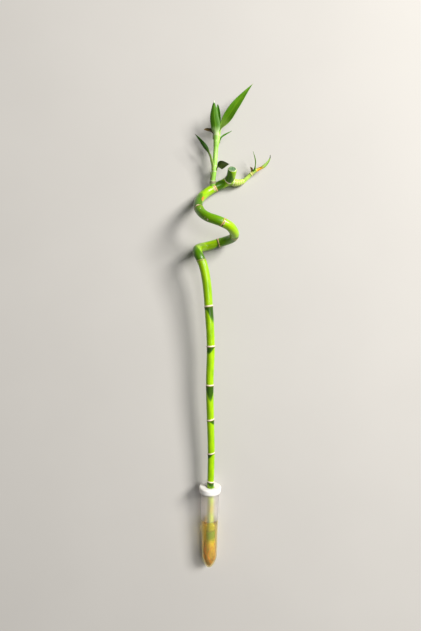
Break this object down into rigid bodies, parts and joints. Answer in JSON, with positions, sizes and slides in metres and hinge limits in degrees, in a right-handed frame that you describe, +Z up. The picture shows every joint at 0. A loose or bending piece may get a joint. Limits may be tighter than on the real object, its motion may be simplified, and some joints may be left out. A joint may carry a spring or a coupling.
{
  "type": "lucky bamboo in a water tube",
  "caption": "Spiral lucky bamboo cane with leafy side shoots and a sealed top, its rooted foot in a round-ended translucent water tube with a slotted white cap.",
  "frame": {"origin": "under the middle of the overall box, on the table plane that the plant lies on", "axes": "+Y along the plant from the tube's tip to the leaf tips, +Z up from the table"},
  "size_m": [0.1165, 0.7256, 0.068],
  "materials": {
    "tube_plastic": "satin",
    "cap_plastic": "satin",
    "gel": "gloss",
    "roots": "matte",
    "cane": "satin",
    "shoot": "satin",
    "leaf": "satin",
    "dark_leaf": "satin",
    "scale": "matte",
    "dry_sheath": "matte",
    "seal_wax": "satin"
  },
  "bodies": {
    "root": {"tube": "tube_plastic", "cap": "cap_plastic", "roots": "roots", "gel": "gel", "cane": "cane", "shoot": "shoot", "side_shoot": "shoot", "big_leaf": "leaf", "upright_leaf": "leaf", "rear_leaf": "leaf", "short_left_leaf": "dark_leaf", "small_right_leaf": "leaf", "left_lower_leaf": "dark_leaf", "dark_right_leaf": "dark_leaf", "base_scale": "scale", "side_tip_leaf": "leaf", "side_upright_leaf": "leaf", "side_dry_sheath": "dry_sheath", "cut_seal": "seal_wax"}
  },
  "joints": []
}
